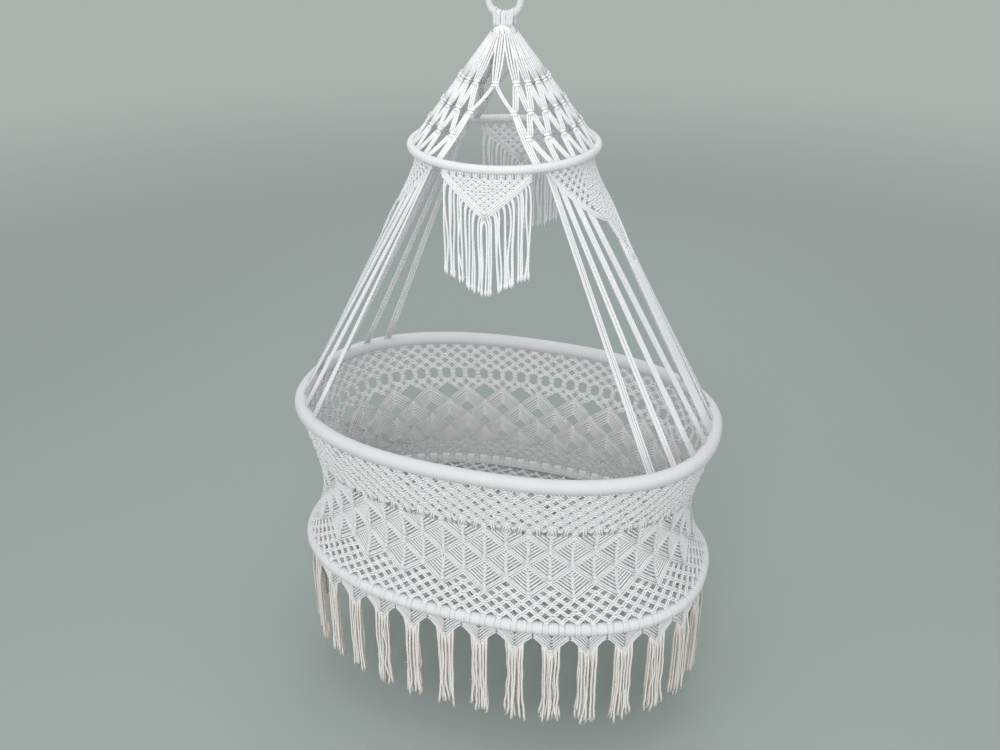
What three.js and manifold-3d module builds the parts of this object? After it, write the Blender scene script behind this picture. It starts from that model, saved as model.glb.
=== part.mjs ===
// Hanging baby cradle: a knotted cotton basket between two oval hoops, hung on flat
// bundles of cord from a round canopy hoop and a small ring.
// Millimetres, +Z up, X along the basket. The origin is where the hook bears: the top of the
// ring's bore. The ring, the hoops and the nets are separate pieces that touch with a small gap.

import * as THREE from 'three';
import { mergeVertices } from 'three/addons/utils/BufferGeometryUtils.js';
import Module from 'manifold-3d';

// Clearances and overruns
const seatGap = 0.3;
const pivotGap = 0.4;
const cutOverrun = 4;
const wrapSeam = 2;

// Ring that goes on the hook
const ringBore = 50;
const ringCoreRadius = 3.9;
const ringWrapWall = 2;

// Lashing over the ring's lower side and the bound collar under it
const lashingHalfWidth = 21;
const lashingHalfDepth = 14;
const lashingWall = 3.6;
const lashingDrop = 16;
const collarRadius = 22;
const collarShoulder = 15.5;
const foreAftSwing = 12;
const fringeSwing = 8;

// Round canopy hoop
const canopyHoopDrop = 293;
const canopyHoopCentreline = 182;
const canopyCoreRadius = 4.5;
const canopyWrapWall = 3.7;

// Cone net between the collar and the canopy hoop
const coneNetThickness = 4;
const coneTopRise = 4;
const coneCordRadius = 2.4;
const coneOpeningHalfAngle = 31;
const coneCordFootAngle = 23;
const coneKnotShare = 0.62;
const coneGapShare = 0.8;
const coneKnotRadius = 4;

// Valances and their hanging fringes, front and back
const valanceHalfAngle = 29.5;
const valanceCornerDrop = 22;
const valanceApexDrop = 97;
const valanceThickness = 4;
const fringeCornerDrop = 215;
const fringeApexDrop = 255;
const fringeThickness = 4;
const fringeSlot = 3;
const fringeUncutDrop = 16;

// Side nets, which spread the load of the suspension cords, and the cords
const sideNetHalfAngle = 52;
const sideNetThickness = 4;
const sideNetCornerDrop = 20;
const sideNetApexDrop = 150;
const borderCordRadius = 2.6;
const bundleHalfWidth = 6.5;
const bundleHalfDepth = 2.4;
const landingHalfAngle = 41.5;

// Rim hoop of the basket
const rimDrop = 881;
const rimHalfLength = 460;
const rimHalfWidth = 300;
const rimCoreRadius = 9;
const rimCoverWall = 6.2;

// Lower hoop of the basket
const lowerHoopDrop = 1237;
const lowerLengthFlare = 5;
const lowerWidthFlare = 2;
const lowerHalfLength = rimHalfLength + lowerLengthFlare;
const lowerHalfWidth = rimHalfWidth + lowerWidthFlare;
const lowerCoreRadius = 7.5;
const lowerWrapWall = 5.7;

// Basket wall and floor
const wallThickness = 6;
const wallEndInset = 40;
const wallSideInset = 24;
const waistShare = 0.57;
const wallGapHalfWidth = 22;
const wallGapHalfHeight = 18;
const wallGapDropShares = [0.36, 0.86];
const floorThickness = 5;
const floorBorder = 16;

// Gaps of the nets: clear width, clear height and the web between two of them
const floorGapLength = 140;
const floorGapWidth = 105;
const coneGapWidth = 32;
const coneGapHeight = 50;
const sideGapWidth = 26;
const sideGapHeight = 26;
const valanceGapWidth = 20;
const valanceGapHeight = 18;
const netWeb = 9;

// Tassels under the lower hoop, each hanging from a knotted point
const tasselSeatGap = 0.8;
const pointHalfWidth = 33;
const pointHalfDepth = 3;
const pointHeight = 58;
const tieHalfWidth = 13;
const tieHalfDepth = 7;
const tasselHalfWidth = 21;
const tasselHalfDepth = 9;
const tasselLength = 184;

// Counts and pure numbers
const ovalPower = 2.35;
const circlePower = 2;
const ovalSteps = 40;
const canopySteps = 32;
const ringSteps = 20;
const coverSides = 8;
const wrapSides = 8;
const coreSides = 6;
const cordSides = 8;
const wallRows = 4;
const wallGapsAround = 20;
const tasselSides = 6;
const tasselCount = 32;
const bundlesPerSide = 8;
const fringeStrands = 10;
const latheSteps = 16;
const swingCuts = 1;
const gapSides = 4;

const wasm = await Module();
wasm.setup();

// Sizes that follow from the ones above
const ringRadius = ringCoreRadius + seatGap + ringWrapWall;
const ringCentreline = ringBore / 2 + ringRadius;
const ringCentreZ = -ringBore / 2;
const ringLowZ = ringCentreZ - ringCentreline;
const canopyRadius = canopyCoreRadius + seatGap + canopyWrapWall;
const rimRadius = rimCoreRadius + seatGap + rimCoverWall;
const lowerRadius = lowerCoreRadius + seatGap + lowerWrapWall;
const lashingLowZ = ringLowZ - lashingDrop;
const collarTopZ = lashingLowZ - seatGap;
const collarPivotZ = collarTopZ - collarShoulder;

// Materials, one for each piece
const cottonColour = 0xe6e2da;
const hoopCottonColour = 0xe3e3e4;
const tasselColour = 0xe6dbc6;
const steelColour = 0x9a9c9e;
const bentwoodColour = 0xb98f5f;

function cotton(color) {
  return new THREE.MeshStandardMaterial({ color, roughness: 0.92, metalness: 0 });
}

function steel() {
  return new THREE.MeshStandardMaterial({ color: steelColour, roughness: 0.4, metalness: 1 });
}

function bentwood() {
  return new THREE.MeshStandardMaterial({ color: bentwoodColour, roughness: 0.6, metalness: 0 });
}

// Boolean helpers

function solidOf(geometry) {
  const bare = geometry.clone();
  bare.deleteAttribute('normal');
  bare.deleteAttribute('uv');
  const merged = mergeVertices(bare);
  return new wasm.Manifold(new wasm.Mesh({
    numProp: 3,
    vertProperties: new Float32Array(merged.attributes.position.array),
    triVerts: new Uint32Array(merged.index.array),
  }));
}

function geometryOf(solid) {
  const mesh = solid.getMesh();
  const geometry = new THREE.BufferGeometry();
  geometry.setAttribute('position', new THREE.BufferAttribute(mesh.vertProperties, 3));
  geometry.setIndex(new THREE.BufferAttribute(mesh.triVerts, 1));
  geometry.computeVertexNormals();
  return geometry;
}

function joined(solids) {
  return solids.reduce((sum, next) => sum.add(next));
}

// Curves and surfaces

// A level oval |x/a|^n + |y/b|^n = 1, begun at the back (+Y). Power 2 makes it an ellipse.
class Oval extends THREE.Curve {
  constructor(halfLength, halfWidth, z, power) {
    super();
    Object.assign(this, { halfLength, halfWidth, z, power });
    this.arcLengthDivisions = ovalSteps * 12;
  }

  atAngle(angle, target = new THREE.Vector3()) {
    const c = Math.cos(angle);
    const s = Math.sin(angle);
    const bend = 2 / this.power;
    return target.set(
      this.halfLength * Math.sign(c) * Math.abs(c) ** bend,
      this.halfWidth * Math.sign(s) * Math.abs(s) ** bend,
      this.z,
    );
  }

  getPoint(t, target) {
    return this.atAngle(Math.PI / 2 + t * 2 * Math.PI, target);
  }

  // The place at a share of the way round, and the level direction straight out from it
  frameAt(share) {
    const u = ((share % 1) + 1) % 1;
    const tangent = this.getTangentAt(u);
    return { at: this.getPointAt(u), out: new THREE.Vector3(tangent.y, -tangent.x, 0).normalize() };
  }
}

const ringCurve = new Oval(ringCentreline, ringCentreline, 0, circlePower);
const canopyCurve = new Oval(canopyHoopCentreline, canopyHoopCentreline, -canopyHoopDrop, circlePower);
const rimCurve = new Oval(rimHalfLength, rimHalfWidth, -rimDrop, ovalPower);
const lowerCurve = new Oval(lowerHalfLength, lowerHalfWidth, -lowerHoopDrop, ovalPower);

// Rings of points joined into a skin. A looped skin closes on its first ring, an open one gets caps.
function skin(rings, looped) {
  const sides = rings[0].length;
  const positions = rings.flat().flatMap((p) => [p.x, p.y, p.z]);
  const index = [];
  const last = looped ? rings.length : rings.length - 1;
  for (let i = 0; i < last; i += 1) {
    const a = i * sides;
    const b = ((i + 1) % rings.length) * sides;
    for (let j = 0; j < sides; j += 1) {
      const k = (j + 1) % sides;
      index.push(a + j, a + k, b + k, a + j, b + k, b + j);
    }
  }
  if (!looped) {
    const end = (rings.length - 1) * sides;
    for (let j = 1; j < sides - 1; j += 1) {
      index.push(0, j + 1, j, end, end + j, end + j + 1);
    }
  }
  const geometry = new THREE.BufferGeometry();
  geometry.setAttribute('position', new THREE.Float32BufferAttribute(positions, 3));
  geometry.setIndex(index);
  return outward(geometry);
}

// Turns every face over if the skin was wound inwards
function outward(geometry) {
  const p = geometry.attributes.position;
  const index = geometry.index.array;
  const [a, b, c] = [new THREE.Vector3(), new THREE.Vector3(), new THREE.Vector3()];
  let volume = 0;
  for (let i = 0; i < index.length; i += 3) {
    a.fromBufferAttribute(p, index[i]);
    b.fromBufferAttribute(p, index[i + 1]);
    c.fromBufferAttribute(p, index[i + 2]);
    volume += a.dot(b.cross(c));
  }
  if (volume < 0) {
    for (let i = 0; i < index.length; i += 3) {
      [index[i], index[i + 1]] = [index[i + 1], index[i]];
    }
  }
  geometry.computeVertexNormals();
  return geometry;
}

// A section of `sides` points round a centre, with a corner straight down
function sectionRing(at, across, up, halfWidth, halfDepth, sides) {
  return Array.from({ length: sides }, (_, j) => {
    const angle = -Math.PI / 2 + (j * 2 * Math.PI) / sides;
    return at.clone()
      .addScaledVector(across, halfWidth * Math.cos(angle))
      .addScaledVector(up, halfDepth * Math.sin(angle));
  });
}

const upward = new THREE.Vector3(0, 0, 1);

// A closed tube round a level oval
function closedTube(curve, radius, sides, steps) {
  const rings = Array.from({ length: steps }, (_, i) => {
    const { at, out } = curve.frameAt(i / steps);
    return sectionRing(at, out, upward, radius, radius, sides);
  });
  return skin(rings, true);
}

// The cord wound round a core: a tube with a bore, open at the seam where the winding starts and ends
function wrapTube(curve, coreRadius, radius, sides, steps) {
  const { at } = curve.frameAt(0);
  const seam = new THREE.BoxGeometry(wrapSeam, 2 * (radius + cutOverrun), 2 * (radius + cutOverrun));
  seam.translate(at.x, at.y, at.z);
  const outer = solidOf(closedTube(curve, radius, sides, steps));
  const bore = solidOf(closedTube(curve, coreRadius + seatGap, coreSides, steps));
  return outer.subtract(bore).subtract(solidOf(seam));
}

// A straight cord or flat bundle between two points
function bar(from, to, across, halfWidth, halfDepth, sides = cordSides) {
  const along = to.clone().sub(from).normalize();
  const wide = across.clone().addScaledVector(along, -across.dot(along)).normalize();
  const deep = along.clone().cross(wide);
  return skin([from, to].map((p) => sectionRing(p, wide, deep, halfWidth, halfDepth, sides)), false);
}

// A cord through a few points, with its joints mitred by shared rings
function cordThrough(points, radius) {
  const rings = points.map((p, i) => {
    const before = points[Math.max(i - 1, 0)];
    const after = points[Math.min(i + 1, points.length - 1)];
    const along = after.clone().sub(before).normalize();
    const wide = new THREE.Vector3().crossVectors(along, upward);
    if (wide.lengthSq() < 1e-6) wide.set(1, 0, 0);
    wide.normalize();
    const deep = along.clone().cross(wide);
    return sectionRing(p, wide, deep, radius, radius, cordSides);
  });
  return skin(rings, false);
}

// A flat outline with gaps, laid on a curved surface: place(u, v) gives the point, and its face
// direction, at u along the surface's width and v down it
function netGeometry(outline, gaps, thickness, place) {
  const shape = new THREE.Shape(outline);
  shape.holes = gaps.map((gap) => new THREE.Path(gap));
  const plate = new THREE.ExtrudeGeometry(shape, { depth: thickness, bevelEnabled: false, steps: 1 });
  const p = plate.attributes.position;
  for (let i = 0; i < p.count; i += 1) {
    const { at, face } = place(p.getX(i), p.getY(i));
    at.addScaledVector(face, p.getZ(i) - thickness / 2);
    p.setXYZ(i, at.x, at.y, at.z);
  }
  plate.deleteAttribute('normal');
  plate.deleteAttribute('uv');
  return outward(mergeVertices(plate));
}

// Staggered diamonds of one clear size with a web between them, kept where inside(corner) holds
function diamondGaps(width, height, web, reachU, fromV, toV, inside) {
  const gaps = [];
  const stepU = width + web;
  const stepV = (height + web) / 2;
  for (let row = 0; fromV + row * stepV <= toV; row += 1) {
    const v = fromV + row * stepV;
    const shift = row % 2 ? stepU / 2 : 0;
    for (let n = Math.ceil((-reachU - shift) / stepU); n * stepU + shift <= reachU; n += 1) {
      const u = n * stepU + shift;
      const corners = [
        new THREE.Vector2(u - width / 2, v),
        new THREE.Vector2(u, v + height / 2),
        new THREE.Vector2(u + width / 2, v),
        new THREE.Vector2(u, v - height / 2),
      ];
      if (corners.every((corner) => inside(corner.x, corner.y))) gaps.push(corners);
    }
  }
  return gaps;
}

const radians = THREE.MathUtils.degToRad;

// Clearance bodies that pieces are cut by where they seat on a hoop or the collar

const canopyCutter = solidOf(closedTube(canopyCurve, canopyRadius + seatGap, wrapSides, canopySteps));
const rimCutter = solidOf(closedTube(rimCurve, rimRadius + seatGap, coverSides, ovalSteps));

function collarCutter() {
  const ball = new THREE.SphereGeometry(collarRadius + pivotGap, latheSteps, latheSteps);
  ball.translate(0, 0, collarPivotZ);
  return solidOf(ball);
}

// The group that holds every piece

const cradle = new THREE.Group();
cradle.name = 'hanging_cradle';

function addPiece(parent, name, geometry, material) {
  const mesh = new THREE.Mesh(geometry, material);
  mesh.name = name;
  parent.add(mesh);
  return mesh;
}

// Ring: it stands upright in the XZ plane, so its group turns the level circle up, with the seam
// of its wrap at the bottom, under the lashing
function buildRing(parent) {
  const group = new THREE.Group();
  group.position.z = ringCentreZ;
  group.rotation.x = -Math.PI / 2;
  parent.add(group);
  addPiece(group, 'ring_core', closedTube(ringCurve, ringCoreRadius, coreSides, ringSteps), steel());
  const wrap = wrapTube(ringCurve, ringCoreRadius, ringRadius, wrapSides, ringSteps);
  addPiece(group, 'ring_wrap', geometryOf(wrap), cotton(hoopCottonColour));
}

// Lashing: loops of cord over the ring's low side, gathered below it. Its tunnel leaves room
// for the swing to and fro.
function buildLashing(parent) {
  const reach = Math.asin(lashingHalfWidth / ringCentreline);
  const sleeveRadius = ringRadius + lashingWall;
  const sleeveSteps = 6;
  const forward = new THREE.Vector3(0, 1, 0);
  const sleeveRings = Array.from({ length: sleeveSteps + 1 }, (_, i) => {
    const angle = THREE.MathUtils.lerp(-reach, reach, i / sleeveSteps);
    const outwards = new THREE.Vector3(Math.sin(angle), 0, -Math.cos(angle));
    const at = outwards.clone().multiplyScalar(ringCentreline);
    at.z += ringCentreZ;
    return sectionRing(at, outwards, forward, sleeveRadius, sleeveRadius, wrapSides);
  });
  const along = new THREE.Vector3(1, 0, 0);
  const bodyRings = [ringLowZ, lashingLowZ].map((z) => (
    sectionRing(new THREE.Vector3(0, 0, z), along, forward, lashingHalfWidth, lashingHalfDepth, latheSteps)
  ));
  let lashing = solidOf(skin(sleeveRings, false)).add(solidOf(skin(bodyRings, false)));
  const ring = closedTube(ringCurve, ringRadius + pivotGap, wrapSides, ringSteps);
  ring.rotateX(Math.PI / 2);
  ring.translate(0, 0, ringCentreline);
  for (let i = -swingCuts; i <= swingCuts; i += 1) {
    const swung = ring.clone();
    swung.rotateX(radians((foreAftSwing * i) / swingCuts));
    swung.translate(0, 0, ringLowZ);
    lashing = lashing.subtract(solidOf(swung));
  }
  addPiece(parent, 'ring_lashing', geometryOf(lashing), cotton(hoopCottonColour));
}

// A turned profile whose points are [radius, height]
function turned(profile) {
  const lathe = new THREE.LatheGeometry(profile.map(([r, z]) => new THREE.Vector2(r, z)), latheSteps);
  lathe.rotateX(Math.PI / 2);
  return lathe;
}

// Collar: the bound bundle that all the cords leave, round so that the cone can tilt and turn on it
function buildCollar(parent) {
  const roundSteps = 8;
  const topAngle = Math.asin(collarShoulder / collarRadius);
  const profile = [[0, collarTopZ]];
  for (let i = 0; i <= roundSteps; i += 1) {
    const angle = THREE.MathUtils.lerp(topAngle, -Math.PI / 2, i / roundSteps);
    const r = i === roundSteps ? 0 : collarRadius * Math.cos(angle);
    profile.push([r, collarPivotZ + collarRadius * Math.sin(angle)]);
  }
  addPiece(parent, 'gather_collar', turned(profile.reverse()), cotton(hoopCottonColour));
}

// Cone surface from the canopy hoop up to the collar: u is an arc length at the hoop, v a distance up it
const coneTopZ = collarPivotZ + coneTopRise;
const coneTopRadius = collarRadius + pivotGap + coneNetThickness / 2;
const coneRise = canopyHoopDrop + coneTopZ;
const coneRun = canopyHoopCentreline - coneTopRadius;
const coneSlope = Math.hypot(coneRun, coneRise);

function onCone(middleAngle) {
  return (u, v) => {
    const angle = middleAngle + u / canopyHoopCentreline;
    const share = v / coneSlope;
    const out = new THREE.Vector3(Math.cos(angle), Math.sin(angle), 0);
    const at = out.clone().multiplyScalar(canopyHoopCentreline - coneRun * share);
    at.z = -canopyHoopDrop + coneRise * share;
    const face = out.multiplyScalar(coneRise).setZ(coneRun).normalize();
    return { at, face };
  };
}

function buildConeNet(parent, name, middleAngle) {
  const half = canopyHoopCentreline * radians(90 - coneOpeningHalfAngle);
  const top = coneSlope;
  const foot = 0;
  const edgeSteps = 12;
  const outline = [];
  for (let i = 0; i <= edgeSteps; i += 1) {
    outline.push(new THREE.Vector2(THREE.MathUtils.lerp(-half, half, i / edgeSteps), foot));
  }
  for (let i = edgeSteps; i >= 0; i -= 1) {
    outline.push(new THREE.Vector2(THREE.MathUtils.lerp(-half, half, i / edgeSteps), top));
  }
  const gapTop = top * coneGapShare;
  const inside = (u, v) => Math.abs(u) < half - netWeb && v > canopyRadius + netWeb && v < gapTop;
  const gaps = diamondGaps(
    coneGapWidth, coneGapHeight, netWeb, half, canopyRadius + coneGapHeight, top, inside,
  );
  const net = solidOf(netGeometry(outline, gaps, coneNetThickness, onCone(middleAngle)));
  const cut = net.subtract(canopyCutter).subtract(collarCutter());
  addPiece(parent, name, geometryOf(cut), cotton(cottonColour));
}

// The few cords that cross the cone's open front or back: one down to a knot, two on to the hoop
function buildConeCords(parent, name, middleAngle) {
  const place = onCone(middleAngle);
  const top = place(0, coneSlope).at;
  const knot = place(0, coneSlope * coneKnotShare).at;
  const across = new THREE.Vector3(-Math.sin(middleAngle), Math.cos(middleAngle), 0);
  const legs = [-1, 1].map((side) => {
    const foot = place(side * canopyHoopCentreline * radians(coneCordFootAngle), 0).at;
    return solidOf(bar(knot, foot, across, coneCordRadius, coneCordRadius));
  });
  const stem = solidOf(bar(top, knot, across, coneCordRadius, coneCordRadius));
  const ball = new THREE.SphereGeometry(coneKnotRadius, cordSides, cordSides);
  ball.translate(knot.x, knot.y, knot.z);
  const cords = joined([stem, ...legs, solidOf(ball)]).subtract(canopyCutter).subtract(collarCutter());
  addPiece(parent, name, geometryOf(cords), cotton(cottonColour));
}

function buildCanopyHoop(parent) {
  const core = closedTube(canopyCurve, canopyCoreRadius, coreSides, canopySteps);
  addPiece(parent, 'canopy_hoop_core', core, steel());
  const wrap = wrapTube(canopyCurve, canopyCoreRadius, canopyRadius, wrapSides, canopySteps);
  addPiece(parent, 'canopy_hoop_wrap', geometryOf(wrap), cotton(hoopCottonColour));
}

// Upright surface under the canopy hoop: u along the arc, v down from the hoop's centre
function underHoop(middleAngle) {
  return (u, v) => {
    const angle = middleAngle + u / canopyHoopCentreline;
    const face = new THREE.Vector3(Math.cos(angle), Math.sin(angle), 0);
    const at = face.clone().multiplyScalar(canopyHoopCentreline);
    at.z = -canopyHoopDrop - v;
    return { at, face };
  };
}

const valanceHalf = canopyHoopCentreline * radians(valanceHalfAngle);
const valanceShare = (u) => Math.abs(u) / valanceHalf;
const valanceEdge = (u) => THREE.MathUtils.lerp(valanceApexDrop, valanceCornerDrop, valanceShare(u));
const valanceSlope = (valanceApexDrop - valanceCornerDrop) / valanceHalf;

// Valance: a V of diamond net tied under the hoop
function buildValance(parent, name, middleAngle) {
  const edgeSteps = 8;
  const outline = [];
  for (let i = 0; i <= edgeSteps; i += 1) {
    const u = THREE.MathUtils.lerp(-valanceHalf, valanceHalf, i / edgeSteps);
    outline.push(new THREE.Vector2(u, 0));
  }
  for (let i = edgeSteps; i >= 0; i -= 1) {
    const u = THREE.MathUtils.lerp(-valanceHalf, valanceHalf, i / edgeSteps);
    outline.push(new THREE.Vector2(u, valanceEdge(u)));
  }
  const inside = (u, v) => Math.abs(u) < valanceHalf && v > canopyRadius + netWeb / 2
    && v < valanceEdge(u) - netWeb;
  const gaps = diamondGaps(
    valanceGapWidth, valanceGapHeight, netWeb, valanceHalf,
    canopyRadius + valanceGapHeight, valanceApexDrop, inside,
  );
  const plate = netGeometry(outline, gaps, valanceThickness, underHoop(middleAngle));
  addPiece(parent, name, geometryOf(solidOf(plate).subtract(canopyCutter)), cotton(cottonColour));
}

// Fringe: strands that hang from the valance's two lower edges, joined where they leave it.
// Its top edge falls away from the valance towards the ends, so that it can swing.
function buildFringe(parent, name, middleAngle) {
  const fringeEnd = (u) => THREE.MathUtils.lerp(fringeApexDrop, fringeCornerDrop, valanceShare(u));
  const turned = (u) => Math.abs(u) / canopyHoopCentreline;
  const behindPivot = (u) => canopyHoopCentreline * (1 - Math.cos(turned(u)));
  const swingRise = (u) => (behindPivot(u) + fringeThickness / 2) * Math.sin(radians(fringeSwing));
  const faceRise = (u) => fringeThickness * Math.sin(turned(u)) * valanceSlope;
  const top = (u) => valanceEdge(u) + 2 * seatGap + swingRise(u) + faceRise(u);
  const edgeSteps = fringeStrands;
  const pitch = (2 * valanceHalf) / fringeStrands;
  const outline = [];
  for (let i = 0; i <= edgeSteps; i += 1) {
    const u = THREE.MathUtils.lerp(-valanceHalf, valanceHalf, i / edgeSteps);
    outline.push(new THREE.Vector2(u, top(u)));
  }
  for (let i = fringeStrands - 1; i >= 0; i -= 1) {
    const left = -valanceHalf + i * pitch;
    const right = left + pitch;
    const rightInset = i === fringeStrands - 1 ? 0 : fringeSlot / 2;
    const leftInset = i === 0 ? 0 : fringeSlot / 2;
    const end = fringeEnd(left + pitch / 2);
    if (rightInset) outline.push(new THREE.Vector2(right - rightInset, top(right) + fringeUncutDrop));
    outline.push(new THREE.Vector2(right - rightInset, end));
    outline.push(new THREE.Vector2(left + leftInset, end));
    if (leftInset) outline.push(new THREE.Vector2(left + leftInset, top(left) + fringeUncutDrop));
  }
  const plate = netGeometry(outline, [], fringeThickness, underHoop(middleAngle));
  addPiece(parent, name, plate, cotton(cottonColour));
}

// Suspension surface at one end of the basket: straight lines from the canopy hoop to the rim.
// s runs from -1 to 1 across the end, v is a distance down the line.
function onSuspension(endAngle) {
  return (s, v) => {
    const hoopPoint = (x) => canopyCurve.atAngle(endAngle + radians(sideNetHalfAngle) * x);
    const rimPoint = (x) => rimCurve.atAngle(endAngle + radians(landingHalfAngle) * x);
    const from = hoopPoint(s);
    const down = rimPoint(s).sub(from);
    const length = down.length();
    down.normalize();
    const nudge = 1e-3;
    const across = hoopPoint(s + nudge).sub(hoopPoint(s - nudge)).normalize();
    const face = new THREE.Vector3().crossVectors(across, down).normalize();
    if (face.dot(from) < 0) face.negate();
    return { at: from.addScaledVector(down, v), face, across, length };
  };
}

const sideNetHalf = canopyHoopCentreline * radians(sideNetHalfAngle);
const sideNetEdge = (s) => THREE.MathUtils.lerp(sideNetApexDrop, sideNetCornerDrop, Math.abs(s));

const borderSlope = Math.atan((sideNetApexDrop - sideNetCornerDrop) / sideNetHalf);

function sideNetPlate(endAngle, edgeOffset, thickness, gaps) {
  const place = onSuspension(endAngle);
  const edgeSteps = 12;
  const outline = [];
  for (let i = 0; i <= edgeSteps; i += 1) {
    outline.push(new THREE.Vector2(THREE.MathUtils.lerp(-sideNetHalf, sideNetHalf, i / edgeSteps), 0));
  }
  for (let i = edgeSteps; i >= 0; i -= 1) {
    const u = THREE.MathUtils.lerp(-sideNetHalf, sideNetHalf, i / edgeSteps);
    const drop = sideNetEdge(u / sideNetHalf) + edgeOffset / Math.cos(borderSlope);
    outline.push(new THREE.Vector2(u, drop));
  }
  return solidOf(netGeometry(outline, gaps, thickness, (u, v) => place(u / sideNetHalf, v)));
}

// Side net: a V of open diamonds that the suspension cords leave along its lower edges
function buildSideNet(parent, name, endAngle) {
  const inside = (u, v) => Math.abs(u) < sideNetHalf && v > canopyRadius + netWeb / 2
    && v < sideNetEdge(u / sideNetHalf) - netWeb;
  const firstGap = canopyRadius + sideGapHeight;
  const gaps = diamondGaps(
    sideGapWidth, sideGapHeight, netWeb, sideNetHalf, firstGap, sideNetApexDrop, inside,
  );
  const plate = sideNetPlate(endAngle, 0, sideNetThickness, gaps);
  addPiece(parent, name, geometryOf(plate.subtract(canopyCutter)), cotton(cottonColour));
}

// Suspension cords: flat bundles from the side net's border down to the rim, joined by their border cord
function buildSuspension(parent, name, endAngle, bundles) {
  const place = onSuspension(endAngle);
  const bundleS = (n) => -1 + (2 * n) / (bundlesPerSide - 1);
  const borderV = (s) => sideNetEdge(s) + (borderCordRadius + seatGap) / Math.cos(borderSlope);
  const stop = bundles[bundles.length - 1];
  const border = [];
  for (let n = bundles[0]; n <= stop; n += 0.5) {
    border.push(place(bundleS(n), borderV(bundleS(n))).at);
  }
  const pieces = [solidOf(cordThrough(border, borderCordRadius))];
  for (const n of bundles) {
    const s = bundleS(n);
    const start = place(s, borderV(s));
    const landing = place(s, start.length);
    pieces.push(solidOf(bar(start.at, landing.at, start.across, bundleHalfWidth, bundleHalfDepth)));
  }
  const netCutter = sideNetPlate(endAngle, seatGap, sideNetThickness + 2 * cutOverrun, []);
  const cords = joined(pieces).subtract(rimCutter).subtract(netCutter);
  addPiece(parent, name, geometryOf(cords), cotton(cottonColour));
}

function buildRim(parent) {
  addPiece(parent, 'rim_core', closedTube(rimCurve, rimCoreRadius, coreSides, ovalSteps), bentwood());
  const cover = wrapTube(rimCurve, rimCoreRadius, rimRadius, coverSides, ovalSteps);
  addPiece(parent, 'rim_cover', geometryOf(cover), cotton(hoopCottonColour));
}

function buildLowerHoop(parent) {
  const core = closedTube(lowerCurve, lowerCoreRadius, coreSides, ovalSteps);
  addPiece(parent, 'lower_hoop_core', core, bentwood());
  const wrap = wrapTube(lowerCurve, lowerCoreRadius, lowerRadius, coverSides, ovalSteps);
  addPiece(parent, 'lower_hoop_wrap', geometryOf(wrap), cotton(hoopCottonColour));
}

const wallTopZ = -rimDrop - rimRadius - seatGap;
const wallLowZ = -lowerHoopDrop + lowerRadius + seatGap;
const waistPower = Math.log(0.5) / Math.log(waistShare);

// The wall's level oval at a share of the way down, drawn in at the waist
function wallCurve(share) {
  const drawn = Math.sin(Math.PI * share ** waistPower);
  return new Oval(
    THREE.MathUtils.lerp(rimHalfLength, lowerHalfLength, share) - wallEndInset * drawn,
    THREE.MathUtils.lerp(rimHalfWidth, lowerHalfWidth, share) - wallSideInset * drawn,
    THREE.MathUtils.lerp(wallTopZ, wallLowZ, share),
    ovalPower,
  );
}

// Diamond cutters for the wall's openings, in staggered rows
function wallGapCutters() {
  return wallGapDropShares.flatMap((dropShare, row) => {
    const curve = wallCurve(dropShare);
    return Array.from({ length: wallGapsAround }, (_, n) => {
      const { at, out } = curve.frameAt((n + row / 2) / wallGapsAround);
      const across = new THREE.Vector3().crossVectors(upward, out);
      const from = at.clone().addScaledVector(out, -wallThickness - cutOverrun);
      const to = at.clone().addScaledVector(out, wallThickness + cutOverrun);
      return solidOf(bar(from, to, across, wallGapHalfWidth, wallGapHalfHeight, gapSides));
    });
  });
}

// Basket wall: a tube of net between the two ovals, with rows of diamond openings
function buildWall(parent) {
  const inner = [];
  const outer = [];
  for (let row = 0; row <= wallRows; row += 1) {
    const curve = wallCurve(row / wallRows);
    const frames = Array.from({ length: ovalSteps }, (_, i) => curve.frameAt(i / ovalSteps));
    outer.push(frames.map(({ at, out }) => at.clone().addScaledVector(out, wallThickness / 2)));
    inner.push(frames.map(({ at, out }) => at.clone().addScaledVector(out, -wallThickness / 2)));
  }
  const tube = solidOf(skin([...outer, ...inner.reverse()], true));
  const wall = wallGapCutters().reduce((left, cutter) => left.subtract(cutter), tube);
  addPiece(parent, 'basket_wall', geometryOf(wall), cotton(cottonColour));
}

// Floor net: flat inside the lower hoop
function buildFloor(parent) {
  const edge = lowerRadius + seatGap;
  const outline = Array.from({ length: ovalSteps }, (_, i) => {
    const { at, out } = lowerCurve.frameAt(i / ovalSteps);
    at.addScaledVector(out, -edge);
    return new THREE.Vector2(at.x, at.y);
  });
  const a = lowerHalfLength - edge - floorBorder;
  const b = lowerHalfWidth - edge - floorBorder;
  const inside = (x, y) => Math.abs(x / a) ** ovalPower + Math.abs(y / b) ** ovalPower < 1;
  const stepY = floorGapWidth + netWeb;
  const firstRow = -Math.ceil(b / stepY) * stepY;
  const gaps = diamondGaps(floorGapLength, floorGapWidth, netWeb, a, firstRow, b, inside);
  const place = (x, y) => ({ at: new THREE.Vector3(x, y, -lowerHoopDrop), face: upward });
  addPiece(parent, 'floor_net', netGeometry(outline, gaps, floorThickness, place), cotton(cottonColour));
}

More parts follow.
